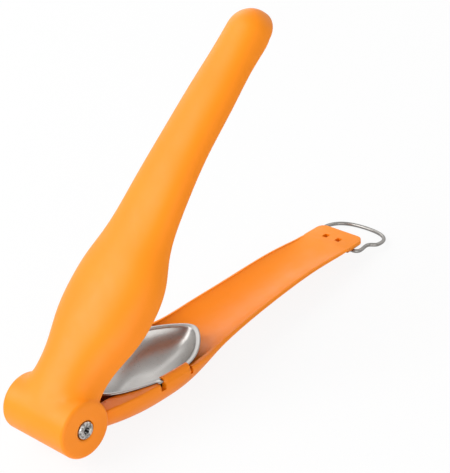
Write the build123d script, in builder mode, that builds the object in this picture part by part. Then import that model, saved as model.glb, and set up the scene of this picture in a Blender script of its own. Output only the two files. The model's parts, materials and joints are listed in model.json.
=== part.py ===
"""Chestnut cutter: two moulded levers on a sprung hinge, with a pressed steel cup in the lower one,
a cross of scoring blades under the upper one's dome, and a wire bail that hangs the tool and locks it shut.

Frame: millimetres, +Z up, standing on the flat under its bowl. X runs along the lower lever from the hinge
to the tail, Y along the hinge pin, and the origin is under the middle of the whole part.
"""

import math
import os

from build123d import *

# Levers, measured from the hinge axis
lower_length = 156.0
tip_overhang = 4.6         # how much longer the upper lever is
rest_opening = 40.5        # degrees between the two levers when the spring holds them open
tail_drop = 3.07           # degrees that the lower lever's chord slopes down to its tail
foot_height = 15.0         # hinge axis above the surface that the flat under the bowl stands on
overrun = 2.0              # how far cutting solids pass the faces that they cut

# Shells: widest half width, dome height and bowl depth, and what the sections keep of them along the levers
lower_half_width = 18.8
dome_overhang = 1.4        # how much wider the dome is than the bowl, on each side
dome_height = 13.8
bowl_depth = 13.8
wall = 2.2
roundness_share = 0.6      # how square the side of a section is, as the pull of its curves
rim_radius = 0.8

upper_station_shares = [0, .05, .10, .15, .20, .25, .30, .36, .42, .50, .60, .70, .80, .88, .94]
upper_width_shares = [.787, .76, .725, .804, .922, .978, .973, .88, .739, .656, .592, .555, .524, .488,
                      .465]
crown_shares = [.771, .847, .899, .939, .977, .997, 1, .988, .943, .946, .969, .948, .906, .891, .908]
upper_rim_shares = [-.107, -.075, -.059, -.054, -.058, -.056, -.031, .057, .209, .322, .391, .383, .354,
                    .29, .247]

lower_station_shares = [0, .045, .074, .10, .15, .20, .25, .30, .36, .42, .50, .60, .70, .80, .88, .94]
lower_width_shares = [.604, .613, .689, .758, .86, .93, .977, .995, .958, .855, .78, .717, .676, .648, .626,
                      .605]
belly_shares = [-.65, -.745, -.81, -.87, -.955, -.995, -.97, -.905, -.745, -.60, -.47, -.36, -.27, -.20,
                -.14, -.066]
lower_rim_shares = [-.06, -.05, -.035, -.015, 0, .02, .02, .01, -.035, -.045, .018, .088, .14, .155, .1,
                    .0652]
pocket_width_shares = [.54, .76, .878, .894, .85, .775, .711, .648, .606, .579, .556, .535]
floor_shares = [-.47, -.58, -.65, -.71, -.797, -.833, -.81, -.746, -.587, -.44, -.31, -.20, -.11, -.05, .01,
                .075]
lean_shares = [0, 0, 0, 0, 0, 0, 0, 0, .24, .48, .72, .72, .72, .72, .72, .72]

# Hinge barrel of the upper lever and the two lugs of the lower one
barrel_radius = 10.65
barrel_width_share = .851   # of the bowl's width
cheek_thickness = 4.0
wrap_thickness = 2.1
wrap_end_angle = 245.0     # degrees from the upper lever's own direction to the lower edge of the wrap
wrap_stop_angle = 2.0      # degrees left between that edge and the lower lever's root at rest
cheek_edge_radius = 1.3
hinge_side_gap = 0.3
lug_gap = 0.3
lug_thickness = 4.0
root_floor = 7.4           # depth of the channel between the lugs, below the hinge axis
root_length = 16.0
pin_gap = 0.05

# Hinge post, screw, spring and bush
post_radius = 2.5
hinge_screw_radius = 1.5
head_radius = 3.3
head_thickness = 1.7
head_edge_radius = 0.8
head_recess_radius = 3.6
head_recess_depth = 1.3
socket_width = 2.3
socket_depth = 1.5
spring_wire_radius = 0.65
coil_radius = 4.65
coil_pitch_share = .2727   # of half the space between the lugs
coil_turns = 5
spring_gap = 0.35
spring_leg_drop = 1.0
upper_leg_reach = 17.0
lower_leg_reach = 15.0
bush_wall = 0.9
bush_end_gap = 0.15

# Pressed cup
cup_length_share = 1 / 3   # of the lower lever's length, as are the next ones
cup_front_share = .109
bowl_centre_share = .2244
blade_centre_share = .2885
cup_inset = 1.6            # from the shell's widest side to the cup's rim
cup_thickness = 0.8
cup_depth = 9.5
cup_gap = 0.1
cup_rim_width = 1.0
cup_outline_shares = [(0, .31), (.035, .45), (.15, .69), (.25, .83), (.36, .945), (.52, 1), (.635, .965),
                      (.74, .85), (.86, .60), (.95, .32)]
bowl_depth_shares = [0, .30, .62, .88, 1]
bowl_size_shares = [1, .93, .78, .52, .30]
tab_width = 1.8
tab_reach = 1.6

# Lips over the cup's rim, with the notches at their ends
lip_front_share = .232
lip_rear_share = .308
lip_height = 1.8
lip_half_width = 1.75
lip_edge_shares = [.945, .975, .985]
notch_width = 2.2
rear_notch_width = 1.2
notch_depth = 2.6
lip_pocket_gap = 0.25
lip_pocket_end_gap = 0.6
lip_pocket_top = 1.0       # above the upper lever's own chord

# Tail
tail_thickness = 1.6
tail_top = 0.9
tail_start_share = .93
tail_corner_radius = 3.5
tail_end_share = .59
bail_pivot_inset = 6.8      # from the tail's end to the bail's pivot
boss_half_width = 6.0
boss_wall = 1.3
window_length = 2.6
window_width = 2.3
window_spread = 6.4

# Bail
bail_wire_radius = 0.78
bail_reach = 22.5
bail_leg_half_width = 12.6
bail_neck_half_width = 11.3
bail_neck_reach = 8.2
bail_full_half_width = 13.8
bail_full_reach = 12.5
arc_pull_share = 0.66
bail_end_gap = 1.5         # half the space between the two ends of the wire
bail_bend_radius = 1.8
bail_bore_gap = 0.06
bail_plate_gap = 0.25

# Blades and their plate
blade_thickness = 0.8
blade_half_length = 12.0
blade_half_span_share = .545    # of the dome's half width, as is the next one
blade_top = 7.8
blade_bottom = -3.6
blade_hollow = 7.0
slot_gap = 0.05
plate_thickness = 1.0
plate_half_length = 11.0
plate_half_span_share = .52
plate_corner_radius = 2.5
stake_width = 4.0
stake_height = 0.8
stake_inset = 1.2
blade_screw_offset = 6.8
blade_screw_radius = 1.2
blade_screw_length = 4.6
blade_head_radius = 2.3
blade_head_height = 1.5
dome_boss_radius = 2.9

# Worked out from the sizes above
upper_length = lower_length + tip_overhang
upper_half_width = lower_half_width + dome_overhang
barrel_width = 2 * barrel_width_share * lower_half_width
cup_length = cup_length_share * lower_length
cup_front = cup_front_share * lower_length
bowl_centre = bowl_centre_share * lower_length
blade_centre = blade_centre_share * lower_length
blade_half_span = blade_half_span_share * upper_half_width
plate_half_span = plate_half_span_share * upper_half_width
cup_half_width = lower_half_width - cup_inset
cheek_inner = barrel_width / 2 - cheek_thickness
lug_outer = cheek_inner - hinge_side_gap
lug_inner = lug_outer - lug_thickness
wrap_inner_radius = barrel_radius - wrap_thickness
lug_radius = wrap_inner_radius - lug_gap
coil_pitch = coil_pitch_share * lug_inner
head_seat = barrel_width / 2 - head_recess_depth
boss_radius = bail_wire_radius + bail_bore_gap + boss_wall
tail_start = tail_start_share * lower_length
tail_half_width = lower_width_shares[-1] * lower_half_width
tail_end_half_width = tail_end_share * lower_half_width

drop = math.radians(tail_drop)
pivot_x = lower_length - bail_pivot_inset
pivot_z = tail_top - tail_thickness - bail_plate_gap - bail_wire_radius
pivot_height = foot_height - pivot_x * math.sin(drop) + pivot_z * math.cos(drop)
bail_droop = math.degrees(math.asin((pivot_height - bail_wire_radius) / bail_reach))
front_reach = (pivot_x * math.cos(drop) + pivot_z * math.sin(drop)
               + bail_reach * math.cos(math.radians(bail_droop)) + bail_wire_radius)
hinge_x = (barrel_radius - front_reach) / 2

upper_angle = rest_opening - tail_drop
hinge = Vector(hinge_x, 0, foot_height)


def tilted(origin, degrees):
    """Plane whose own X points the given angle above the row's X, with its Y along the hinge pin."""
    turn = math.radians(degrees)
    return Plane(origin=origin, x_dir=(math.cos(turn), 0, math.sin(turn)),
                 z_dir=(-math.sin(turn), 0, math.cos(turn)))


lower = tilted(hinge, -tail_drop)
upper = tilted(hinge, upper_angle)
bail_pivot = lower.from_local_coords(Vector(pivot_x, 0, pivot_z))
bail = tilted(bail_pivot, -bail_droop)


def cross_plane(lever, reach):
    """Plane across a lever at a distance from the hinge: its X runs along the pin, its Y is the lever's Z."""
    return Plane(origin=lever.from_local_coords(Vector(reach, 0, 0)), x_dir=lever.y_dir, z_dir=lever.x_dir)


def side_plane(lever, across=0):
    """Plane along a lever, square to the pin: its X is the lever's X and its Y the lever's Z."""
    return Plane(origin=lever.from_local_coords(Vector(0, across, 0)), x_dir=lever.x_dir, z_dir=-lever.y_dir)


def flat_plane(lever, height=0):
    """Plane parallel to a lever's own XY at a height."""
    return lever.offset(height)


def shell_section(plane, half_width, rim, peak, lean=0):
    """Outside of a shell across the lever: a round back, rounded rims and a straight line between them.
    The lean, from 0 to 1, makes the sides slope in from the edge, as they do on the tongue."""
    turn = math.copysign(rim_radius, rim - peak)
    side = rim - turn
    pull = roundness_share * (1 - lean) * (peak - side)
    with BuildSketch(plane) as section:
        with BuildLine():
            for hand in (-1, 1):
                Bezier((hand * half_width, side), (hand * half_width, side + pull),
                       (hand * roundness_share * half_width, peak), (0, peak))
                Bezier((hand * half_width, side), (hand * half_width, side + turn / 2),
                       (hand * (half_width - rim_radius / 2), rim), (hand * (half_width - rim_radius), rim))
            Line((half_width - rim_radius, rim), (rim_radius - half_width, rim))
        make_face()
    return section.sketch


def hollow_section(plane, half_width, rim, peak, skirt, lean=0):
    """Inside of a shell across the lever, open through the rim as far as the skirt."""
    side = rim - math.copysign(rim_radius * (1 - lean), rim - peak)
    pull = roundness_share * (1 - lean) * (peak - side)
    with BuildSketch(plane) as section:
        with BuildLine():
            for hand in (-1, 1):
                Bezier((hand * half_width, side), (hand * half_width, side + pull),
                       (hand * roundness_share * half_width, peak), (0, peak))
            Polyline((half_width, side), (half_width, skirt), (-half_width, skirt), (-half_width, side))
        make_face()
    return section.sketch


def half_of(section):
    """The half of a section on one side of the lever's middle, which turns into the round tip."""
    return section.face().split(Plane.XZ, keep=Keep.TOP)


def egg(plane, half_width, length, front):
    """Closed egg-shaped outline of the cup, its blunt end towards the hinge."""
    near = [(front + along * length, across * half_width) for along, across in cup_outline_shares]
    far = [(x, -y) for x, y in reversed(near)]
    with BuildSketch(plane) as outline:
        with BuildLine():
            Spline(*near, (front + length, 0), *far, periodic=True)
        make_face()
    return outline.sketch


# Where the lips stand, along the lower lever and across it
lip_reaches = [lip_front_share * lower_length, (lip_front_share + lip_rear_share) / 2 * lower_length,
               lip_rear_share * lower_length]
lip_edges = [share * lower_half_width for share in lip_edge_shares]
pocket_front = lip_reaches[0] - notch_width - lip_pocket_gap
pocket_rear = lip_reaches[2] + lip_pocket_end_gap

# Upper lever: the inside first, then the shell with its barrel
upper_stations = [share * upper_length for share in upper_station_shares]
upper_widths = [share * upper_half_width for share in upper_width_shares]
crowns = [share * dome_height for share in crown_shares]
upper_rims = [share * dome_height for share in upper_rim_shares]
tip_start = upper_length - upper_widths[-1]
upper_stations[-1] = tip_start
tip_plane = cross_plane(upper, tip_start)
tip_axis = Axis(tip_plane.origin, upper.z_dir)
tip_turn = 180
skirt_height = -barrel_radius - overrun

with BuildPart() as upper_hollow:
    inner_sections = []
    for reach, width, rim, crown in zip(upper_stations, upper_widths, upper_rims, crowns):
        if reach <= barrel_radius:
            inside, top = cheek_inner, crown - wrap_thickness
        else:
            inside, top = width - wall, crown - wall
        inner_sections.append(hollow_section(cross_plane(upper, reach), inside, rim, top, skirt_height))
    loft(sections=inner_sections)
    revolve(half_of(inner_sections[-1]), axis=tip_axis, revolution_arc=tip_turn)

with BuildPart() as barrel:
    with BuildSketch(side_plane(upper)):
        Circle(barrel_radius)
    extrude(amount=barrel_width / 2, both=True)
    fillet(barrel.edges().filter_by(GeomType.CIRCLE), cheek_edge_radius)

wrap_end = math.radians(wrap_end_angle)
far = 2 * barrel_radius
with BuildPart() as wrap_mouth:
    with BuildSketch(side_plane(upper)):
        with BuildLine():
            Polyline((0, 0), (far * math.cos(wrap_end), far * math.sin(wrap_end)), (0, -far), (far, -far),
                     (far, 0), (0, 0))
        make_face()
    extrude(amount=cheek_inner, both=True)

boss_places = [(blade_centre - blade_screw_offset, -blade_screw_offset),
               (blade_centre + blade_screw_offset, blade_screw_offset)]
plate_top = blade_top + plate_thickness

with BuildPart() as upper_handle:
    outer_sections = [shell_section(cross_plane(upper, reach), width, rim, crown)
                      for reach, width, rim, crown in zip(upper_stations, upper_widths, upper_rims, crowns)]
    loft(sections=outer_sections)
    revolve(half_of(outer_sections[-1]), axis=tip_axis, revolution_arc=tip_turn)
    add(barrel.part)
    add(upper_hollow.part, mode=Mode.SUBTRACT)
    with BuildSketch(side_plane(upper)):
        Circle(wrap_inner_radius)
    extrude(amount=cheek_inner, both=True, mode=Mode.SUBTRACT)
    add(wrap_mouth.part, mode=Mode.SUBTRACT)
    with BuildSketch(flat_plane(upper, plate_top)):
        with Locations(*boss_places):
            Circle(dome_boss_radius)
    extrude(amount=dome_height - wall - plate_top)
    with BuildSketch(flat_plane(upper, lip_pocket_top)):
        for side in (-1, 1):
            with BuildLine():
                Polyline((pocket_front, 0), (pocket_front, side * (lip_edges[0] + lip_pocket_gap)),
                         (lip_reaches[1], side * (lip_edges[1] + lip_pocket_gap)),
                         (pocket_rear, side * (lip_edges[2] + lip_pocket_gap)), (pocket_rear, 0),
                         (pocket_front, 0))
            make_face()
    extrude(amount=-lip_pocket_top - dome_overhang - overrun, mode=Mode.SUBTRACT)
    with BuildSketch(flat_plane(upper, plate_top)):
        with Locations(*boss_places):
            Circle(blade_screw_radius + pin_gap)
    extrude(amount=blade_screw_length - plate_thickness + pin_gap, mode=Mode.SUBTRACT)
    with BuildSketch(side_plane(upper)):
        Circle(post_radius + pin_gap)
    extrude(amount=barrel_width, both=True, mode=Mode.SUBTRACT)
    for side in (-1, 1):
        with BuildSketch(side_plane(upper, side * head_seat)):
            Circle(head_recess_radius)
        extrude(amount=-side * barrel_width / 2, mode=Mode.SUBTRACT)

# Lower lever: pocket and trough, the shell, lugs, lips, tail plate and the bail's boss
lower_stations = [share * lower_length for share in lower_station_shares]
lower_widths = [share * lower_half_width for share in lower_width_shares]
pocket_widths = [lug_inner - pin_gap] * (len(lower_stations) - len(pocket_width_shares))
pocket_widths += [share * lower_half_width for share in pocket_width_shares]
lower_rims = [share * bowl_depth for share in lower_rim_shares]

with BuildPart() as lower_hollow:
    loft(sections=[hollow_section(cross_plane(lower, reach), width, rim, share * bowl_depth,
                                  lip_height + overrun, lean)
                   for reach, width, rim, share, lean
                   in zip(lower_stations, pocket_widths, lower_rims, floor_shares, lean_shares)])

root_angle = math.radians(rest_opening + wrap_end_angle + wrap_stop_angle)
with BuildPart() as wrap_room:
    with BuildSketch(side_plane(lower)):
        with BuildLine():
            Polyline((0, 0), (far * math.cos(root_angle), far * math.sin(root_angle)), (0, -far),
                     (-far, -far), (-far, far), (0, far), (0, 0))
        make_face()
        Circle(lug_radius, mode=Mode.SUBTRACT)
    extrude(amount=barrel_width, both=True)

flange_top = cup_gap + cup_thickness


def lip_section(plane, edge, side):
    """Half-round lip on the shell's rim, its outer edge run down into the rim's rounding."""
    inner, middle = edge - 2 * lip_half_width, edge - lip_half_width
    with BuildSketch(plane) as section:
        with BuildLine():
            Bezier((side * inner, 0), (side * inner, lip_height / 2),
                   (side * (inner + middle) / 2, lip_height), (side * middle, lip_height))
            Bezier((side * middle, lip_height), (side * (middle + edge) / 2, lip_height),
                   (side * edge, lip_height / 2), (side * edge, -rim_radius))
            Polyline((side * edge, -rim_radius), (side * middle, -rim_radius), (side * middle, 0),
                     (side * inner, 0))
        make_face()
    return section.sketch


with BuildPart() as lower_handle:
    loft(sections=[shell_section(cross_plane(lower, reach), width, rim, share * bowl_depth, lean)
                   for reach, width, rim, share, lean
                   in zip(lower_stations, lower_widths, lower_rims, belly_shares, lean_shares)])
    with BuildSketch(flat_plane(lower, tail_top - tail_thickness)) as tail_plan:
        with BuildLine():
            Polyline((tail_start, tail_half_width), (lower_length, tail_end_half_width),
                     (lower_length, -tail_end_half_width), (tail_start, -tail_half_width),
                     (tail_start, tail_half_width))
        make_face()
        fillet(tail_plan.vertices().group_by(Axis.X)[-1], tail_corner_radius)
    extrude(amount=tail_thickness)
    add(lower_hollow.part, mode=Mode.SUBTRACT)
    add(wrap_room.part, mode=Mode.SUBTRACT)
    for side in (-1, 1):
        with BuildSketch(side_plane(lower, side * lug_inner)):
            Circle(lug_radius)
        extrude(amount=-side * lug_thickness)
        with BuildSketch(side_plane(lower, side * lug_outer)):
            Circle(barrel_radius + hinge_side_gap)
        extrude(amount=-side * barrel_width, mode=Mode.SUBTRACT)
        loft(sections=[lip_section(cross_plane(lower, reach), edge, side)
                       for reach, edge in zip(lip_reaches, lip_edges)])
    with BuildSketch(flat_plane(lower, -root_floor)):
        with Locations((root_length / 2, 0)):
            Rectangle(root_length, 2 * lug_inner)
    extrude(amount=root_floor + overrun, mode=Mode.SUBTRACT)
    with BuildSketch(side_plane(lower)):
        Circle(post_radius + pin_gap)
    extrude(amount=barrel_width, both=True, mode=Mode.SUBTRACT)
    with BuildSketch(flat_plane(lower)) as cup_room:
        add(egg(Plane.XY, cup_half_width + cup_gap, cup_length + 2 * cup_gap, cup_front - cup_gap))
    extrude(amount=flange_top + cup_gap, mode=Mode.SUBTRACT)
    with BuildSketch(flat_plane(lower, -notch_depth)):
        with Locations((lip_reaches[0] - notch_width / 2, 0)):
            Rectangle(notch_width, 2 * lower_half_width + overrun)
        with Locations((lip_reaches[-1] + rear_notch_width / 2, 0)):
            Rectangle(rear_notch_width, 2 * lower_half_width + overrun)
    extrude(amount=notch_depth + lip_height, mode=Mode.SUBTRACT)
    with BuildSketch(side_plane(lower)):
        with Locations((pivot_x, pivot_z)):
            Circle(boss_radius)
        with Locations((pivot_x, (pivot_z + tail_top - tail_thickness / 2) / 2)):
            Rectangle(2 * boss_radius, tail_top - tail_thickness / 2 - pivot_z)
    extrude(amount=boss_half_width, both=True)
    with BuildSketch(side_plane(lower)):
        with Locations((pivot_x, pivot_z)):
            Circle(bail_wire_radius + bail_bore_gap)
    extrude(amount=boss_half_width + overrun, both=True, mode=Mode.SUBTRACT)
    with BuildSketch(flat_plane(lower, pivot_z)):
        with Locations((pivot_x, -window_spread / 2), (pivot_x, window_spread / 2)):
            Rectangle(window_length, window_width)
    extrude(amount=tail_top - pivot_z + overrun, mode=Mode.SUBTRACT)
    split(bisect_by=Plane.XY, keep=Keep.TOP)

# Pressed cup
mouth_half_width = cup_half_width - cup_rim_width
mouth_length = cup_length - 2 * cup_rim_width
mouth_front = cup_front + cup_rim_width


def bowl_sections(top, thickness):
    """Outlines of the bowl from its mouth down, drawn in by a thickness."""
    sections = []
    for depth_share, size_share in zip(bowl_depth_shares, bowl_size_shares):
        sections.append(egg(flat_plane(lower, top - depth_share * cup_depth),
                            size_share * mouth_half_width - thickness,
                            size_share * mouth_length - 2 * thickness,
                            bowl_centre - size_share * (bowl_centre - mouth_front) + thickness))
    return sections


with BuildPart() as nut_cup:
    with BuildSketch(flat_plane(lower, cup_gap)):
        add(egg(Plane.XY, cup_half_width, cup_length, cup_front))
        for side in (-1, 1):
            with Locations((lip_reaches[0] - notch_width / 2, side * (cup_half_width - tab_reach / 2))):
                Rectangle(tab_width, tab_reach)
    extrude(amount=cup_thickness)
    loft(sections=bowl_sections(cup_gap, 0))
    loft(sections=bowl_sections(flange_top, cup_thickness), mode=Mode.SUBTRACT)

# Hinge post, screw, bush and spring
with BuildPart() as hinge_post:
    with BuildSketch(side_plane(upper, head_seat)):
        Circle(post_radius)
    extrude(amount=2 * head_seat - overrun)
    with BuildSketch(side_plane(upper, head_seat)):
        Circle(head_radius)
    extrude(amount=-head_thickness)
    fillet(hinge_post.edges().filter_by(GeomType.CIRCLE).sort_by(Axis.Y)[-1], head_edge_radius)
    with BuildSketch(side_plane(upper, head_seat + head_thickness - socket_depth)):
        RegularPolygon(socket_width / 2, 6, major_radius=False)
    extrude(amount=-socket_depth - overrun, mode=Mode.SUBTRACT)
    with BuildSketch(side_plane(upper, -head_seat)):
        Circle(hinge_screw_radius + pin_gap)
    extrude(amount=-head_seat - overrun, mode=Mode.SUBTRACT)

with BuildPart() as hinge_screw:
    with BuildSketch(side_plane(upper, -head_seat)):
        Circle(hinge_screw_radius)
    extrude(amount=-head_seat)
    with BuildSketch(side_plane(upper, -head_seat)):
        Circle(head_radius)
    extrude(amount=head_thickness)
    fillet(hinge_screw.edges().filter_by(GeomType.CIRCLE).sort_by(Axis.Y)[0], head_edge_radius)
    with BuildSketch(side_plane(upper, -head_seat - head_thickness + socket_depth)):
        RegularPolygon(socket_width / 2, 6, major_radius=False)
    extrude(amount=socket_depth + overrun, mode=Mode.SUBTRACT)

bush_inner_radius = post_radius + pin_gap
with BuildPart() as spring_bush:
    with BuildSketch(side_plane(lower)):
        Circle(bush_inner_radius + bush_wall)
        Circle(bush_inner_radius, mode=Mode.SUBTRACT)
    extrude(amount=lug_inner - bush_end_gap, both=True)

# The coil runs from the leg under the dome to the leg on the trough's floor
upper_leg_height = crowns[2] - wall - spring_gap - spring_wire_radius - spring_leg_drop
lower_leg_height = spring_gap + spring_wire_radius - root_floor


def leg_start(reach, height, hand):
    """Angle on the coil, in degrees, where a leg to this point leaves it: over it (1) or under it (-1)."""
    bearing = math.degrees(math.atan2(height, reach))
    lean = math.degrees(math.asin(coil_radius / math.hypot(reach, height)))
    return bearing + hand * (90 - lean)


first_angle = rest_opening + leg_start(upper_leg_reach, upper_leg_height, 1)
last_angle = 360 + leg_start(lower_leg_reach, lower_leg_height, -1)
sweep_angle = last_angle - first_angle + 360 * coil_turns
coil_half_width = coil_pitch * sweep_angle / 360 / 2


def on_coil(turned):
    """Point of the coil's middle line, in the lower lever's frame."""
    angle = math.radians(first_angle + turned)
    return lower.from_local_coords(Vector(coil_radius * math.cos(angle),
                                          -coil_half_width + coil_pitch * turned / 360,
                                          coil_radius * math.sin(angle)))


steps = 3 * coil_turns + 1
upper_leg_end = upper.from_local_coords(Vector(upper_leg_reach, -coil_half_width, upper_leg_height))
lower_leg_end = lower.from_local_coords(Vector(lower_leg_reach, coil_half_width, lower_leg_height))

with BuildPart() as torsion_spring:
    with BuildLine() as spring_line:
        Line(upper_leg_end, on_coil(0))
        for step in range(steps):
            ThreePointArc(on_coil(sweep_angle * step / steps), on_coil(sweep_angle * (step + .5) / steps),
                          on_coil(sweep_angle * (step + 1) / steps))
        Line(on_coil(sweep_angle), lower_leg_end)
    with BuildSketch(Plane(origin=upper_leg_end, z_dir=on_coil(0) - upper_leg_end)):
        Circle(spring_wire_radius)
    sweep(path=spring_line.wire())

# Bail
swell = (bail_neck_reach + bail_full_reach) / 2
with BuildPart() as locking_bail:
    with BuildLine(bail) as bail_line:
        for side in (-1, 1):
            Line((0, side * bail_end_gap), (0, side * (bail_leg_half_width - bail_bend_radius)))
            Bezier((0, side * (bail_leg_half_width - bail_bend_radius)),
                   (0, side * (bail_leg_half_width - bail_bend_radius / 2)),
                   (bail_bend_radius / 2, side * bail_leg_half_width),
                   (bail_bend_radius, side * bail_leg_half_width))
            Bezier((bail_bend_radius, side * bail_leg_half_width),
                   (bail_neck_reach / 2, side * bail_leg_half_width),
                   (bail_neck_reach * 3 / 4, side * bail_neck_half_width),
                   (bail_neck_reach, side * bail_neck_half_width))
            Bezier((bail_neck_reach, side * bail_neck_half_width), (swell, side * bail_neck_half_width),
                   (swell, side * bail_full_half_width), (bail_full_reach, side * bail_full_half_width))
            Bezier((bail_full_reach, side * bail_full_half_width),
                   (bail_full_reach + arc_pull_share * (bail_reach - bail_full_reach),
                    side * bail_full_half_width),
                   (bail_reach, side * arc_pull_share * bail_full_half_width), (bail_reach, 0))
    with BuildSketch(Plane(origin=bail.from_local_coords(Vector(0, -bail_end_gap, 0)), x_dir=bail.x_dir,
                           z_dir=-bail.y_dir)):
        Circle(bail_wire_radius)
    sweep(path=bail_line.wire())

# Blades, their plate and its screws
blade_middle = (blade_top + blade_bottom + blade_hollow) / 2
stake_place = plate_half_span - stake_width / 2 - stake_inset
half_slot = blade_thickness / 2 + slot_gap


def blade_outline(plane, centre, half_length):
    """Flat blade with a hollow cutting edge below and two stakes above."""
    with BuildSketch(plane) as outline:
        with BuildLine():
            ThreePointArc((centre - half_length, blade_bottom), (centre, blade_bottom + blade_hollow),
                          (centre + half_length, blade_bottom))
            Polyline((centre + half_length, blade_bottom), (centre + half_length, blade_top),
                     (centre - half_length, blade_top), (centre - half_length, blade_bottom))
        make_face()
        with Locations(*[(centre + side * stake_place, (blade_top + plate_top + stake_height) / 2)
                         for side in (-1, 1)]):
            Rectangle(stake_width, plate_top - blade_top + stake_height)
    return outline.sketch


with BuildPart() as long_blade:
    extrude(blade_outline(side_plane(upper), blade_centre, blade_half_length),
            amount=blade_thickness / 2, both=True)
    with BuildSketch(side_plane(upper)):
        with Locations((blade_centre, (blade_middle + blade_top + overrun) / 2)):
            Rectangle(2 * half_slot, blade_top + overrun - blade_middle)
    extrude(amount=blade_thickness, both=True, mode=Mode.SUBTRACT)

with BuildPart() as cross_blade:
    extrude(blade_outline(cross_plane(upper, blade_centre), 0, blade_half_span),
            amount=blade_thickness / 2, both=True)
    with BuildSketch(cross_plane(upper, blade_centre)):
        with Locations((0, (blade_middle + blade_bottom) / 2)):
            Rectangle(2 * half_slot, blade_middle - blade_bottom)
    extrude(amount=blade_thickness, both=True, mode=Mode.SUBTRACT)

with BuildPart() as blade_plate:
    with BuildSketch(flat_plane(upper, blade_top)) as plate_plan:
        with Locations((blade_centre, 0)):
            RectangleRounded(2 * plate_half_length, 2 * plate_half_span, plate_corner_radius)
            with Locations((-stake_place, 0), (stake_place, 0)):
                Rectangle(stake_width + 2 * slot_gap, 2 * half_slot, mode=Mode.SUBTRACT)
            with Locations((0, -stake_place), (0, stake_place)):
                Rectangle(2 * half_slot, stake_width + 2 * slot_gap, mode=Mode.SUBTRACT)
        with Locations(*boss_places):
            Circle(blade_screw_radius + pin_gap, mode=Mode.SUBTRACT)
    extrude(amount=plate_thickness)


def blade_screw(place):
    """Pan-head screw through the plate into a boss of the dome."""
    with BuildPart() as screw:
        with BuildSketch(flat_plane(upper, blade_top)):
            with Locations(place):
                Circle(blade_screw_radius)
        extrude(amount=blade_screw_length)
        with BuildSketch(flat_plane(upper, blade_top - blade_head_height)):
            with Locations(place):
                Circle(blade_head_radius)
        extrude(amount=blade_head_height)
    return screw


front_blade_screw = blade_screw(boss_places[0])
rear_blade_screw = blade_screw(boss_places[1])

# Each piece under its own name
pieces = {
    "upper_handle": upper_handle, "lower_handle": lower_handle, "nut_cup": nut_cup,
    "hinge_post": hinge_post, "hinge_screw": hinge_screw, "spring_bush": spring_bush,
    "torsion_spring": torsion_spring, "locking_bail": locking_bail, "long_blade": long_blade,
    "cross_blade": cross_blade, "blade_plate": blade_plate,
    "front_blade_screw": front_blade_screw, "rear_blade_screw": rear_blade_screw,
}
os.makedirs("parts", exist_ok=True)
for name, piece in pieces.items():
    piece.part.label = name
    export_step(piece.part, f"parts/{name}.step")
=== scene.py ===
"""Chestnut cutter in orange moulded plastic and bright steel, standing open on a pale floor.

The two levers, the blades and the screws keep the shapes of the frame, with their round faces shaded round.
Only the corner at the root of the upper lever is filled to a smooth hollow. The cup, the bail and the spring
are surfaces worked out here from the same sizes.

Sizes are in millimetres where no other unit is named, and the frame is in metres.
"""

import json
import math

import bmesh
import bpy
import numpy as np
from mathutils import Matrix, Vector

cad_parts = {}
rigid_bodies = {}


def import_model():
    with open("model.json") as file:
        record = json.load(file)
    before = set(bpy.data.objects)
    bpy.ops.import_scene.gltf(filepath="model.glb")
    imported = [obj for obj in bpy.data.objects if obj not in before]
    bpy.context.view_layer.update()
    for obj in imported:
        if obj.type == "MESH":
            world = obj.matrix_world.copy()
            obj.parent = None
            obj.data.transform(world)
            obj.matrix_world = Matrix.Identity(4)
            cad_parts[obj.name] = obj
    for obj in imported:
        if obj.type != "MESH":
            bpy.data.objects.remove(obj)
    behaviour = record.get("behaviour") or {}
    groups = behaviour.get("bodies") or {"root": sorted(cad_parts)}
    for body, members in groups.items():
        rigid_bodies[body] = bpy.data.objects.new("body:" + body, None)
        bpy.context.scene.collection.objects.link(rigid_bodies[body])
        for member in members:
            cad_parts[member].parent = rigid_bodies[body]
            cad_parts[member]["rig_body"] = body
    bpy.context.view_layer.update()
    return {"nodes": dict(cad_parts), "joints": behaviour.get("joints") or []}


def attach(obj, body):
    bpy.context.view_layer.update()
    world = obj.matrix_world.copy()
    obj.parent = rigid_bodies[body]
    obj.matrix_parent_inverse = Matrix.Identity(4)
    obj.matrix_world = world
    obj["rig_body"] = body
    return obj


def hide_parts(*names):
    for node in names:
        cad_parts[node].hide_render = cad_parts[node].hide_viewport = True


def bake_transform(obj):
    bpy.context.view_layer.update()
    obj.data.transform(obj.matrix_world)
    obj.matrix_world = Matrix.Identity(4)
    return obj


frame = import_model()
nodes = frame["nodes"]
joints = {joint["name"]: joint for joint in frame["joints"]}
hinge = np.array(joints["lever_hinge"]["pos_m"])
bail_pivot = np.array(joints["bail_hinge"]["pos_m"])

mm = 0.001
micron = 0.000001
tail_drop = math.radians(3.07)      # the lower lever's slope down to its tail
rest_opening = math.radians(40.5)   # between the two levers at rest
bail_droop = math.radians(11.542)   # the bail's slope down to the table


# Places and curves

def placed(points, origin, slope):
    """Points in the own frame of a lever with that slope, turned about the pin's direction and moved to the
    origin. The result is in metres in the frame."""
    points = np.asarray(points, float)
    x, y, z = points[..., 0], points[..., 1], points[..., 2]
    cos, sin = math.cos(slope), math.sin(slope)
    return origin + mm * np.stack([x * cos - z * sin, y, x * sin + z * cos], axis=-1)


def turned_back(vectors, slope):
    """The frame's vectors in the own frame of a lever with that slope: X along it and Z square to it."""
    cos, sin = math.cos(slope), math.sin(slope)
    return vectors[:, 0] * cos + vectors[:, 2] * sin, vectors[:, 2] * cos - vectors[:, 0] * sin


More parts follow.
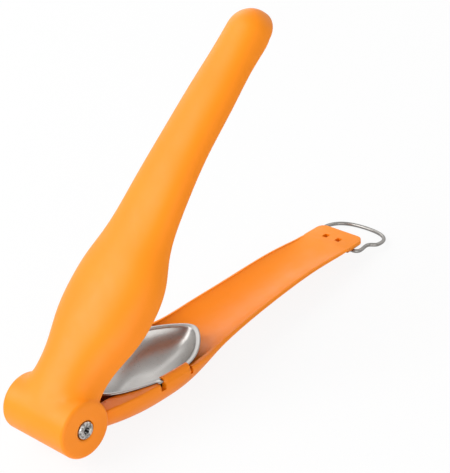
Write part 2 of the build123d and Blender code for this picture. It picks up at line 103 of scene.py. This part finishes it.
def bezier(first, second, third, last, count):
    """Cubic curve at evenly spread parameters, its end left out. Each control point counts by its Bernstein
    weight."""
    t = np.linspace(0, 1, count, endpoint=False)[:, None]
    return ((1 - t) ** 3 * np.array(first) + 3 * t * (1 - t) ** 2 * np.array(second)
            + 3 * t * t * (1 - t) * np.array(third) + t ** 3 * np.array(last))


def spline_through(points, count, closed):
    """Cubic spline through points, its parameter the length of the chords. The second derivatives solve the
    usual three-term equations, as a ring where the curve is closed and zero at the ends where it is open."""
    points = np.asarray(points, float)
    if closed:
        points = np.vstack([points, points[:1]])
    knots = np.concatenate([[0], np.cumsum(np.linalg.norm(np.diff(points, axis=0), axis=1))])
    gap = np.diff(knots)
    rise = np.diff(points, axis=0) / gap[:, None]
    size = len(points)
    matrix, value = np.zeros((size, size)), np.zeros_like(points)
    inner = np.arange(1, size - 1)
    matrix[inner, inner - 1] = gap[:-1]
    matrix[inner, inner] = 2 * (gap[:-1] + gap[1:])
    matrix[inner, inner + 1] = gap[1:]
    value[inner] = 6 * (rise[1:] - rise[:-1])
    if closed:
        matrix[0, [0, 1, -2]] = 2 * (gap[0] + gap[-1]), gap[0], gap[-1]
        value[0] = 6 * (rise[0] - rise[-1])
        matrix[-1, [0, -1]] = 1, -1
    else:
        matrix[0, 0] = matrix[-1, -1] = 1
    bend = np.linalg.solve(matrix, value)
    at = np.linspace(0, knots[-1], count, endpoint=not closed)
    span = np.clip(np.searchsorted(knots, at, side="right") - 1, 0, size - 2)
    right = (at - knots[span])[:, None]
    left = gap[span][:, None] - right
    width = gap[span][:, None]
    return ((bend[span] * left ** 3 + bend[span + 1] * right ** 3) / (6 * width)
            + (points[span] / width - bend[span] * width / 6) * left
            + (points[span + 1] / width - bend[span + 1] * width / 6) * right)


def smooth_step(value, start, stop):
    """0 below start and 1 above stop. Between them it rises smoothly, as three times the square of the share
    of the way, less twice its cube."""
    share = np.clip((value - start) / (stop - start), 0, 1)
    return share * share * (3 - 2 * share)


# Pieces

weld_gap = 0.002      # between corners of the frame's triangles that are one corner
flat_weight = 80      # how far a corner's normal leans to its larger faces, from 50 for not at all up to 100
end_rings = 5         # steps from the side of a wire to the pole at its end


def put(name, mesh, material, body, stands_for):
    """Object at the origin with its mesh, its material in the mesh's slot and its body, in the place of one
    of the frame's nodes. A piece that bends between two bodies is given None for its body and is attached to
    neither."""
    piece = bpy.data.objects.new(name, mesh)
    bpy.context.scene.collection.objects.link(piece)
    mesh.materials.clear()
    mesh.materials.append(material)
    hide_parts(stands_for)
    if body:
        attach(piece, body)
    return piece


def rings_mesh(name, rings, first_pole, last_pole):
    """Closed surface over a stack of closed rings, with a pole at each end. Rings and poles are points in
    metres, and the quads between neighbouring rings are written as one array of index quadruples."""
    count, around = rings.shape[:2]
    ring = np.arange(around)
    following = (ring + 1) % around
    start = np.arange(count - 1)[:, None] * around
    quads = np.stack([start + ring, start + following, start + following + around, start + ring + around],
                     axis=-1).reshape(-1, 4)
    last_start = (count - 1) * around
    pole = count * around
    first_cap = np.stack([np.full(around, pole), following, ring], axis=-1)
    last_cap = np.stack([np.full(around, pole + 1), last_start + ring, last_start + following], axis=-1)
    points = np.vstack([rings.reshape(-1, 3), first_pole, last_pole])
    mesh = bpy.data.meshes.new(name)
    mesh.from_pydata(points.tolist(), [], quads.tolist() + first_cap.tolist() + last_cap.tolist())
    facing = bmesh.new()
    facing.from_mesh(mesh)
    bmesh.ops.recalc_face_normals(facing, faces=facing.faces)
    facing.to_mesh(mesh)
    facing.free()
    mesh.shade_smooth()
    return mesh


def wire_mesh(name, path, across, radius, sides):
    """Round wire along a path: a circle in the plane of two directions square to the path. One is the given
    direction across it with its part along the path taken out, the other their cross product. The ends are
    half balls, so the circle's radius there follows a quarter circle to the pole."""
    along = np.gradient(path, axis=0)
    along /= np.linalg.norm(along, axis=1, keepdims=True)
    across = across - (across * along).sum(axis=1, keepdims=True) * along
    across /= np.linalg.norm(across, axis=1, keepdims=True)
    third = np.cross(along, across)
    turn = np.linspace(0, math.pi / 2, end_rings + 1)[1:-1, None]
    head = path[0] - along[0] * radius * np.sin(turn[::-1])
    tail = path[-1] + along[-1] * radius * np.sin(turn)
    centres = np.vstack([head, path, tail])
    sizes = radius * np.concatenate([np.cos(turn[::-1, 0]), np.ones(len(path)), np.cos(turn[:, 0])])
    ends = len(turn)
    across = np.vstack([np.repeat(across[:1], ends, 0), across, np.repeat(across[-1:], ends, 0)])
    third = np.vstack([np.repeat(third[:1], ends, 0), third, np.repeat(third[-1:], ends, 0)])
    angle = np.linspace(0, 2 * math.pi, sides, endpoint=False)[None, :, None]
    circles = np.cos(angle) * across[:, None] + np.sin(angle) * third[:, None]
    rings = centres[:, None] + sizes[:, None, None] * circles
    return rings_mesh(name, rings, path[0] - along[0] * radius, path[-1] + along[-1] * radius)


def frame_copy(node_name, name, edge_angle, material):
    """The frame's own surface with its loose triangles joined. Edges sharper than the angle stay sharp, and
    each corner's normal leans to the larger faces, so that flats look flat up to their rounded edges."""
    source = nodes[node_name]
    mesh = source.data.copy()
    mesh.name = name
    welded = bmesh.new()
    welded.from_mesh(mesh)
    bmesh.ops.remove_doubles(welded, verts=welded.verts, dist=weld_gap * mm)
    welded.to_mesh(mesh)
    welded.free()
    mesh.shade_smooth()
    mesh.set_sharp_from_angle(angle=edge_angle)
    piece = put(name, mesh, material, source["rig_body"], node_name)
    normals = piece.modifiers.new("flat_faces_first", "WEIGHTED_NORMAL")
    normals.keep_sharp = True
    normals.weight = flat_weight
    return piece


# Parts of a material

def new_material(name):
    """An empty node material and its Principled shader."""
    material = bpy.data.materials.new(name)
    material.use_nodes = True
    return material, material.node_tree.nodes["Principled BSDF"]


def link(material, source, target):
    """A link between two sockets."""
    material.node_tree.links.new(source, target)


def object_point(material, stretch=(1, 1, 1), turn=(0, 0, 0), shift=(0, 0, 0)):
    """Object coordinates through a Mapping node that stretches, turns and shifts the pattern."""
    where = material.node_tree.nodes.new("ShaderNodeTexCoord")
    mapping = material.node_tree.nodes.new("ShaderNodeMapping")
    mapping.inputs["Scale"].default_value = stretch
    mapping.inputs["Rotation"].default_value = turn
    mapping.inputs["Location"].default_value = shift
    link(material, where.outputs["Object"], mapping.inputs["Vector"])
    return mapping.outputs["Vector"]


def noise(material, point, scale, detail, rough=0.5):
    """Noise at so many features a metre."""
    node = material.node_tree.nodes.new("ShaderNodeTexNoise")
    node.inputs["Scale"].default_value = scale
    node.inputs["Detail"].default_value = detail
    node.inputs["Roughness"].default_value = rough
    link(material, point, node.inputs["Vector"])
    return node.outputs["Fac"]


def spread(material, source, low=0.0, high=1.0, start=0.3, stop=0.7):
    """A value stretched from start..stop, between which noise mostly lies, to low..high."""
    node = material.node_tree.nodes.new("ShaderNodeMapRange")
    node.inputs["From Min"].default_value = start
    node.inputs["From Max"].default_value = stop
    node.inputs["To Min"].default_value = low
    node.inputs["To Max"].default_value = high
    link(material, source, node.inputs["Value"])
    return node.outputs["Result"]


def blend_colours(material, source, first, second):
    """Two colours mixed by a value. Each is given as a colour, or as the output of the node that makes it."""
    node = material.node_tree.nodes.new("ShaderNodeMix")
    node.data_type = "RGBA"
    ends = [socket for socket in node.inputs if socket.type == "RGBA"]
    for end, colour in zip(ends, (first, second)):
        if isinstance(colour, tuple):
            end.default_value = (*colour, 1)
        else:
            link(material, colour, end)
    link(material, source, node.inputs["Factor"])
    return [socket for socket in node.outputs if socket.type == "RGBA"][0]


def relief(material, shader, source, height, strength):
    """A bump of that height in metres."""
    node = material.node_tree.nodes.new("ShaderNodeBump")
    node.inputs["Strength"].default_value = strength
    node.inputs["Distance"].default_value = height
    link(material, source, node.inputs["Height"])
    link(material, node.outputs["Normal"], shader.inputs["Normal"])


# Materials

def moulded_orange():
    """Orange moulded plastic: an even colour with a slow drift and a little wear, a satin face and the fine
    grain that the mould left."""
    material, shader = new_material("moulded_orange")
    point = object_point(material)
    drift = spread(material, noise(material, point, scale=22, detail=2))
    wear = noise(material, point, scale=140, detail=5, rough=0.6)
    grain = noise(material, point, scale=2400, detail=2)
    link(material, blend_colours(material, drift, (0.96, 0.255, 0.001), (0.99, 0.280, 0.003)),
         shader.inputs["Base Color"])
    link(material, spread(material, wear, low=0.40, high=0.52), shader.inputs["Roughness"])
    shader.inputs["IOR"].default_value = 1.40
    relief(material, shader, grain, height=4 * micron, strength=0.3)
    return material


def worked_steel(name, base, rough, lines, stretch=(1, 1, 1), turn=(0, 0, 0), height=3 * micron):
    """Steel with the fine lines that its working left, drawn out along one direction, and faint clouds of
    handling over them."""
    material, shader = new_material(name)
    marks = noise(material, object_point(material, stretch, turn), scale=lines, detail=4, rough=0.65)
    cloud = spread(material, noise(material, object_point(material), scale=90, detail=3))
    handled = tuple(0.88 * part for part in base)
    link(material, blend_colours(material, cloud, base, handled), shader.inputs["Base Color"])
    shader.inputs["Metallic"].default_value = 1.0
    link(material, spread(material, marks, low=rough - 0.05, high=rough + 0.09), shader.inputs["Roughness"])
    relief(material, shader, marks, height, strength=0.5)
    return material


def screw_steel(socket_radius=1.25, blur=0.07):
    """Plated steel mottled by wear, with painted shade that darkens the key socket at its middle, found by
    the distance from the pin's axis."""
    material, shader = new_material("screw_steel")
    from_axis = material.node_tree.nodes.new("ShaderNodeVectorMath")
    from_axis.operation = "LENGTH"
    link(material, object_point(material, stretch=(1, 0, 1), shift=(-hinge[0], 0, -hinge[2])),
         from_axis.inputs[0])
    outside = spread(material, from_axis.outputs["Value"],
                     start=(socket_radius - blur) * mm, stop=(socket_radius + blur) * mm)
    marks = noise(material, object_point(material), scale=1300, detail=3, rough=0.6)
    mottle = spread(material, marks, start=0.4, stop=0.6)
    plating = blend_colours(material, mottle, (0.60, 0.58, 0.56), (0.17, 0.16, 0.15))
    # Painted shade: near black inside the socket's radius, the mottled plating outside it
    link(material, blend_colours(material, outside, (0.02, 0.018, 0.016), plating),
         shader.inputs["Base Color"])
    shader.inputs["Metallic"].default_value = 1.0
    rough = spread(material, outside, low=0.7, high=0.3, start=0, stop=1)
    link(material, rough, shader.inputs["Roughness"])
    relief(material, shader, marks, height=30 * micron, strength=0.6)
    return material


orange = moulded_orange()
pressed_steel = worked_steel("pressed_steel", (0.31, 0.30, 0.288), rough=0.31, lines=700, stretch=(1, 6, 6))
drawn_wire = worked_steel("drawn_wire", (0.25, 0.238, 0.225), rough=0.26, lines=2500)
plated_steel = worked_steel("plated_steel", (0.52, 0.51, 0.50), rough=0.28, lines=1800)
steel_with_painted_socket_shade = screw_steel()
ground_steel = worked_steel("ground_steel", (0.60, 0.60, 0.62), rough=0.27, lines=260, stretch=(1, 8, 8),
                            turn=(0, -tail_drop, 0), height=1 * micron)


# The levers, blades and screws

lever_edge = math.radians(30)       # a sharper edge stays sharp
fitting_edge = math.radians(35)
net_size = 0.5                      # faces of the upper lever's even net
fill_rounds = 800
calm_rounds = 12
smooth_angle = math.radians(7)      # between neighbours' normals on a gently curved face, at most
crease_angle = math.radians(10)     # between neighbours' normals at an edge, at least
fill_height = (0.5, 4.0)            # above the pin, square to the upper lever: none and all of the filling
fill_radius = (7.5, 9.5)            # from the pin's axis: none and all of the filling
fill_length = (26.0, 34.0)          # from the pin along the upper lever: all and none of the filling
barrel_heart = 2.0                  # above the pin, what the outside of the root faces away from


def evened(piece, surface, size):
    """The piece as a mesh of even small faces. Remeshing spreads the points evenly, and then each point goes
    to the nearest place on the surface."""
    piece.modifiers.clear()
    remesh = piece.modifiers.new("even", "REMESH")
    remesh.mode = "VOXEL"
    remesh.voxel_size = size
    settle = piece.modifiers.new("settle", "SHRINKWRAP")
    settle.wrap_method = "NEAREST_SURFACEPOINT"
    settle.target = surface
    mesh = bpy.data.meshes.new_from_object(piece.evaluated_get(bpy.context.evaluated_depsgraph_get()))
    piece.modifiers.clear()
    piece.data = mesh
    mesh.shade_smooth()
    return mesh


class Net:
    """The points, normals and edges of a mesh as arrays, with the mean of each point's neighbours."""

    def __init__(self, mesh):
        self.mesh, self.count = mesh, len(mesh.vertices)
        points, normals = np.empty(self.count * 3), np.empty(self.count * 3)
        mesh.vertices.foreach_get("co", points)
        mesh.vertices.foreach_get("normal", normals)
        self.points, self.normals = points.reshape(-1, 3), normals.reshape(-1, 3)
        pairs = np.empty(len(mesh.edges) * 2, int)
        mesh.edges.foreach_get("vertices", pairs)
        self.first, self.second = pairs.reshape(-1, 2).T
        self.near = (np.bincount(self.first, minlength=self.count)
                     + np.bincount(self.second, minlength=self.count))

    def pull(self):
        """From each point to the mean of its neighbours."""
        mean = np.stack([np.bincount(self.first, self.points[self.second, axis], self.count)
                         + np.bincount(self.second, self.points[self.first, axis], self.count)
                         for axis in range(3)], axis=-1)
        return mean / self.near[:, None] - self.points

    def write(self):
        """Puts the points back into the mesh."""
        self.mesh.vertices.foreach_set("co", self.points.ravel())
        self.mesh.update()


def fill_root(net, rounds):
    """Rounds the hollow corner where the upper lever grows out of its barrel. In each round a point moves out
    along its normal by what the mean of its neighbours stands proud of it, times its weight. The weight is 1
    round the corner, and falls to 0 at the rim, round the screw and on the inside."""
    slope = rest_opening - tail_drop
    offset = (net.points - hinge) / mm
    x, z = turned_back(offset, slope)
    normal_x, normal_z = turned_back(net.normals, slope)
    outward = (net.normals[:, 1] * offset[:, 1] + normal_z * (z - barrel_heart)
               + normal_x * np.minimum(x, 0))
    weight = (smooth_step(z, *fill_height) * smooth_step(np.hypot(x, z), *fill_radius)
              * (1 - smooth_step(x, *fill_length)) * (outward > 0))
    for _ in range(rounds):
        rise = (net.pull() * net.normals).sum(axis=1)
        net.points = net.points + (weight * np.maximum(rise, 0))[:, None] * net.normals


def calm(net, rounds):
    """Takes the last unevenness out of the gently curved faces. A point goes halfway to the mean of its
    neighbours in each round, where its normal and theirs agree within a few degrees, and stays where they
    don't, so edges, bores and small roundings are kept."""
    agree = (net.normals[net.first] * net.normals[net.second]).sum(axis=1)
    least = np.ones(net.count)
    np.minimum.at(least, net.first, agree)
    np.minimum.at(least, net.second, agree)
    weight = smooth_step(least, math.cos(crease_angle), math.cos(smooth_angle))[:, None] / 2
    for _ in range(rounds):
        net.points = net.points + weight * net.pull()


upper_shell = frame_copy("upper_handle", "upper_shell", lever_edge, orange)
shell_net = Net(evened(upper_shell, nodes["upper_handle"], net_size * mm))
fill_root(shell_net, fill_rounds)
calm(shell_net, calm_rounds)
shell_net.write()
frame_copy("lower_handle", "lower_shell", lever_edge, orange)

fittings = [(steel_with_painted_socket_shade, "plated_steel", ["hinge_post", "hinge_screw"]),
            (plated_steel, "plated_steel", ["spring_bush", "front_blade_screw", "rear_blade_screw"]),
            (ground_steel, "blade_steel", ["long_blade", "cross_blade", "blade_plate"])]
for fitting_material, fitting_slot, node_names in fittings:
    for node_name in node_names:
        frame_copy(node_name, node_name + "_finish", fitting_edge, fitting_material)


# The pressed cup, in the lower lever's own frame

egg_outline = [(0, .31), (.035, .45), (.15, .69), (.25, .83), (.36, .945), (.52, 1), (.635, .965),
               (.74, .85), (.86, .60), (.95, .32)]     # shares of the length and of the half width
bowl_size_and_depth = [(.02, 1), (.30, .985), (.52, .88), (.78, .62), (.93, .30), (1, 0)]
cup_length = 52.0
cup_half_width = 17.2
cup_front = 17.0                                         # along the lever from the pin
cup_depth = 9.5
bowl_centre = 35.0                                       # along the lever from the pin
sheet = 0.8
rim_width = 1.0
rim_bottom = 0.1
rim_top = rim_bottom + sheet
rim_insets = np.array([1.70, 1.45, 1.20, 0.95, 0.70])    # rings over the rim, from the cup's edge
under_insets = np.array([0.62, 0.85])                    # rings under the rim
rim_fall = 0.45                                          # of the rim towards the bowl
rim_fall_insets = (0.7, 2.2)                             # where that fall starts and ends
bowl_mouth_fall = 0.33                                   # of the bowl's first ring below the rim's top
tab_at = 35.09                                           # along the lever from the pin
tab_half_width = 0.9
tab_corner = 0.35
cup_sides = 640
bowl_rings = 26
edge_rings = 9


def pressed_cup():
    """Egg outline carried over a closed profile. Each ring of the surface is the outline at a half width, a
    length and a front: first the inside of the bowl from its bottom up, then over the rim, whose edge is a
    half circle, and back down the outside. The bowl's size against its depth is a spline through a few
    points. Round the edge of the rim the ring moves out by a smooth step to make the two tabs."""
    far_side = [(along, -across) for along, across in egg_outline[::-1]]
    outline = spline_through(egg_outline + [(1, 0)] + far_side, cup_sides, closed=True)
    bowl_size, bowl_fall = spline_through(bowl_size_and_depth, bowl_rings, closed=False).T
    mouth_half = cup_half_width - rim_width
    mouth_length = cup_length - 2 * rim_width
    mouth_front = cup_front + rim_width

    def bowl_steps(thickness, height):
        """Half width, length, front, height, share of the tabs and inset of each ring of the bowl."""
        return np.stack([bowl_size * (mouth_half - thickness), bowl_size * (mouth_length - 2 * thickness),
                         bowl_centre - bowl_size * (bowl_centre - mouth_front - thickness),
                         height - bowl_fall * cup_depth, 0 * bowl_size, 0 * bowl_size], axis=-1)

    def rim_steps(inset, height, tabs):
        """The same of each ring of the rim."""
        return np.stack([cup_half_width - inset, cup_length - 2 * inset, cup_front + inset,
                         height, tabs, inset], axis=-1)

    angle = np.linspace(math.pi / 2, -math.pi / 2, edge_rings)
    steps = np.vstack([
        bowl_steps(sheet, rim_top - bowl_mouth_fall),
        rim_steps(rim_insets, rim_top - rim_fall * smooth_step(rim_insets, *rim_fall_insets), 0 * rim_insets),
        rim_steps(sheet / 2 * (1 - np.cos(angle)), rim_bottom + sheet / 2 * (1 + np.sin(angle)),
                  1 + 0 * angle),
        rim_steps(under_insets, rim_bottom + 0 * under_insets, 0 * under_insets),
        bowl_steps(0, rim_bottom)[::-1]])
    half_width, length, front, height, tabs, inset = steps.T[:, :, None]
    x = front + outline[None, :, 0] * length
    y = outline[None, :, 1] * half_width
    reach = smooth_step(tab_half_width + tab_corner - np.abs(x - tab_at), 0, tab_corner)
    y = y + np.sign(y) * tabs * reach * (cup_half_width - inset - np.abs(y))
    rings = placed(np.stack([x, y, height + 0 * x], axis=-1), hinge, -tail_drop)
    first_pole, last_pole = placed([(bowl_centre, 0, height[0, 0]), (bowl_centre, 0, height[-1, 0])],
                                   hinge, -tail_drop)
    return rings_mesh("cup", rings, first_pole, last_pole)


put("cup", pressed_cup(), pressed_steel, nodes["nut_cup"]["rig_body"], "nut_cup")


# The wire bail, from its pivot

bail_wire_radius = 0.78
bail_reach = 22.5
leg_half_width = 12.6
leg_bend = 1.8
neck_half_width = 11.3
neck_reach = 8.2
widest_half_width = 13.8
widest_reach = 12.5
arc_pull_share = 0.66     # of the way to the corner, for the control points of the far arc
half_gap = 1.5            # half the space between the two ends of the wire
hub_points = 12
bend_points = 10
neck_points = 14
arc_points = 34
bail_sides = 22


def bail_wire():
    """Wire in one plane: out along the pivot, round a bend, in to the neck, out to the widest place and round
    the far end, then the same back on the other side. Each stretch is a line or a cubic curve, and the far
    half is the near half mirrored and turned round."""
    hub_end = leg_half_width - leg_bend
    swell = (neck_reach + widest_reach) / 2
    arc_pull_reach = widest_reach + arc_pull_share * (bail_reach - widest_reach)
    half = np.vstack([
        np.stack([np.zeros(hub_points), np.linspace(half_gap, hub_end, hub_points, endpoint=False)], axis=-1),
        bezier((0, hub_end), (0, leg_half_width - leg_bend / 2),
               (leg_bend / 2, leg_half_width), (leg_bend, leg_half_width), bend_points),
        bezier((leg_bend, leg_half_width), (neck_reach / 2, leg_half_width),
               (neck_reach * 3 / 4, neck_half_width), (neck_reach, neck_half_width), neck_points),
        bezier((neck_reach, neck_half_width), (swell, neck_half_width),
               (swell, widest_half_width), (widest_reach, widest_half_width), neck_points),
        bezier((widest_reach, widest_half_width), (arc_pull_reach, widest_half_width),
               (bail_reach, arc_pull_share * widest_half_width), (bail_reach, 0), arc_points)])
    flat = np.vstack([half * [1, -1], [(bail_reach, 0)], half[::-1]])
    points = np.concatenate([flat, np.zeros((len(flat), 1))], axis=1)
    upright = placed(np.tile([0.0, 0.0, 1.0], (len(flat), 1)), np.zeros(3), -bail_droop) / mm
    path = placed(points, bail_pivot, -bail_droop)
    return wire_mesh("bail", path, upright, bail_wire_radius * mm, bail_sides)


put("bail", bail_wire(), drawn_wire, nodes["locking_bail"]["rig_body"], "locking_bail")


# The coil spring, in the lower lever's own frame

spring_wire_radius = 0.65
coil_radius = 4.65
coil_pitch = 2.0995
coil_turns = 5
upper_leg = (17.0, 8.206)      # end of the leg, along and square to the upper lever
lower_leg = (15.0, -6.4)       # end of the leg, along and square to the lower lever
coil_points = 260
leg_points = 10
coil_sides = 18


def coil_spring():
    """Straight leg, helix and straight leg. The helix goes round the pin at the coil's radius and moves along
    it by the pitch each turn, and each leg leaves it on a tangent, at its own point's bearing plus or minus a
    right angle less the lean to the tangent point."""
    def leaves(point, hand):
        """Angle on the coil where the leg to the point leaves it."""
        bearing = math.atan2(point[1], point[0])
        return bearing + hand * (math.pi / 2 - math.asin(coil_radius / math.hypot(*point)))

    first = rest_opening + leaves(upper_leg, 1)
    last = 2 * math.pi + leaves(lower_leg, -1)
    sweep = last - first + 2 * math.pi * coil_turns
    half_width = coil_pitch * sweep / (4 * math.pi)
    turned = np.linspace(0, sweep, coil_points)
    angle = first + turned
    out = np.stack([np.cos(angle), np.zeros_like(angle), np.sin(angle)], axis=-1)
    coil = coil_radius * out
    coil[:, 1] = coil_pitch * turned / (2 * math.pi) - half_width
    cos, sin = math.cos(rest_opening), math.sin(rest_opening)
    start = np.array([upper_leg[0] * cos - upper_leg[1] * sin, -half_width,
                      upper_leg[0] * sin + upper_leg[1] * cos])
    end = np.array([lower_leg[0], half_width, lower_leg[1]])
    share = np.linspace(0, 1, leg_points, endpoint=False)[:, None]
    path = np.vstack([start + share * (coil[0] - start), coil,
                      (coil[-1] + share * (end - coil[-1]))[1:], [end]])
    across = np.vstack([np.repeat(out[:1], leg_points, 0), out, np.repeat(out[-1:], leg_points, 0)])
    across = placed(across, np.zeros(3), -tail_drop) / mm
    return wire_mesh("coil", placed(path, hinge, -tail_drop), across, spring_wire_radius * mm, coil_sides)


coil = put("coil", coil_spring(), drawn_wire, None, "torsion_spring")
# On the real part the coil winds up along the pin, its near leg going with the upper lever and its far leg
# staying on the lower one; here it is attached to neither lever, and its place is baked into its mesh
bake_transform(coil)


# Floor and background

floor_half_width = 3.0      # metres
floor_tone = 0.86
floor_white_share = 0.9     # the rest shows the object's shadow
sky_strength = 0.32
white = (1, 1, 1, 1)


def white_to_the_eye(tree, plain_output, white_output, share):
    """White for the camera and for what shines, the plain surface for all other light. The share of white
    leaves room for the object's shadow."""
    path = tree.nodes.new("ShaderNodeLightPath")
    seen = path.outputs["Is Camera Ray"]
    for ray in ("Is Glossy Ray", "Is Transmission Ray"):
        either = tree.nodes.new("ShaderNodeMath")
        either.operation = "MAXIMUM"
        tree.links.new(seen, either.inputs[0])
        tree.links.new(path.outputs[ray], either.inputs[1])
        seen = either.outputs["Value"]
    part = tree.nodes.new("ShaderNodeMath")
    part.operation = "MULTIPLY"
    part.inputs[1].default_value = share
    tree.links.new(seen, part.inputs[0])
    mix = tree.nodes.new("ShaderNodeMixShader")
    tree.links.new(part.outputs["Value"], mix.inputs["Fac"])
    tree.links.new(plain_output, mix.inputs[1])
    tree.links.new(white_output, mix.inputs[2])
    return mix.outputs["Shader"]


def pale_floor():
    """Matt grey floor that looks white."""
    material, shader = new_material("pale_floor")
    tree = material.node_tree
    shader.inputs["Base Color"].default_value = (floor_tone, floor_tone, floor_tone, 1)
    shader.inputs["Roughness"].default_value = 0.95
    glow = tree.nodes.new("ShaderNodeEmission")
    glow.inputs["Color"].default_value = white
    glow.inputs["Strength"].default_value = 1.0
    surface = white_to_the_eye(tree, shader.outputs["BSDF"], glow.outputs["Emission"], floor_white_share)
    link(material, surface, tree.nodes["Material Output"].inputs["Surface"])
    return material


floor_corners = [(x * floor_half_width, y * floor_half_width, 0)
                 for x, y in ((-1, -1), (1, -1), (1, 1), (-1, 1))]
floor_mesh = bpy.data.meshes.new("floor")
floor_mesh.from_pydata(floor_corners, [], [(0, 1, 2, 3)])
floor_mesh.materials.append(pale_floor())
floor = bpy.data.objects.new("floor", floor_mesh)
bpy.context.scene.collection.objects.link(floor)

world = bpy.data.worlds.new("studio")
bpy.context.scene.world = world
world.use_nodes = True
sky = world.node_tree.nodes["Background"]
sky.inputs["Color"].default_value = white
sky.inputs["Strength"].default_value = sky_strength
backdrop = world.node_tree.nodes.new("ShaderNodeBackground")
backdrop.inputs["Color"].default_value = white
backdrop.inputs["Strength"].default_value = 1.0
world_surface = white_to_the_eye(world.node_tree, sky.outputs["Background"],
                                 backdrop.outputs["Background"], share=1.0)
world.node_tree.links.new(world_surface, world.node_tree.nodes["World Output"].inputs["Surface"])


# Lamps, with places and sizes in metres and power in watts

def soft_box(name, place, aim_height, size, power):
    """Square lamp at a place, turned to a point above the middle of the floor."""
    data = bpy.data.lights.new(name, "AREA")
    data.shape = "SQUARE"
    data.size = size
    data.energy = power
    light = bpy.data.objects.new(name, data)
    light.location = place
    light.rotation_euler = (Vector((0, 0, aim_height)) - Vector(place)).to_track_quat("-Z", "Y").to_euler()
    bpy.context.scene.collection.objects.link(light)


soft_box("key", (-0.70, 0.45, 0.80), aim_height=0.05, size=0.9, power=11.5)
soft_box("front", (-0.60, -0.85, 0.25), aim_height=0.03, size=0.8, power=5.2)
soft_box("side", (0.80, -0.20, 0.55), aim_height=0.05, size=0.7, power=1.2)
soft_box("back", (0.4, 0.85, 0.6), aim_height=0.05, size=0.8, power=3.2)


# The camera of the photograph, fitted to the object's outline

right = Vector((0.67804, -0.72379, -0.12810)).normalized()
back = Vector((-0.58182, -0.63500, 0.50821)).normalized()
up = back.cross(right)
eye_from_hinge = Vector((-234.33, -355.00, 308.20))
focal_length_pixels = 1502.9
picture_height_pixels = 473
sensor_size = 36.0    # along the picture's longer side, its height

eye = Vector(hinge) + mm * eye_from_hinge
camera_data = bpy.data.cameras.new("camera")
camera_data.sensor_width = sensor_size
camera_data.lens = focal_length_pixels / picture_height_pixels * sensor_size
camera = bpy.data.objects.new("camera", camera_data)
camera.matrix_world = Matrix(((right.x, up.x, back.x, eye.x), (right.y, up.y, back.y, eye.y),
                              (right.z, up.z, back.z, eye.z), (0, 0, 0, 1)))
bpy.context.scene.collection.objects.link(camera)
bpy.context.scene.camera = camera
bpy.context.scene.view_settings.view_transform = "Standard"
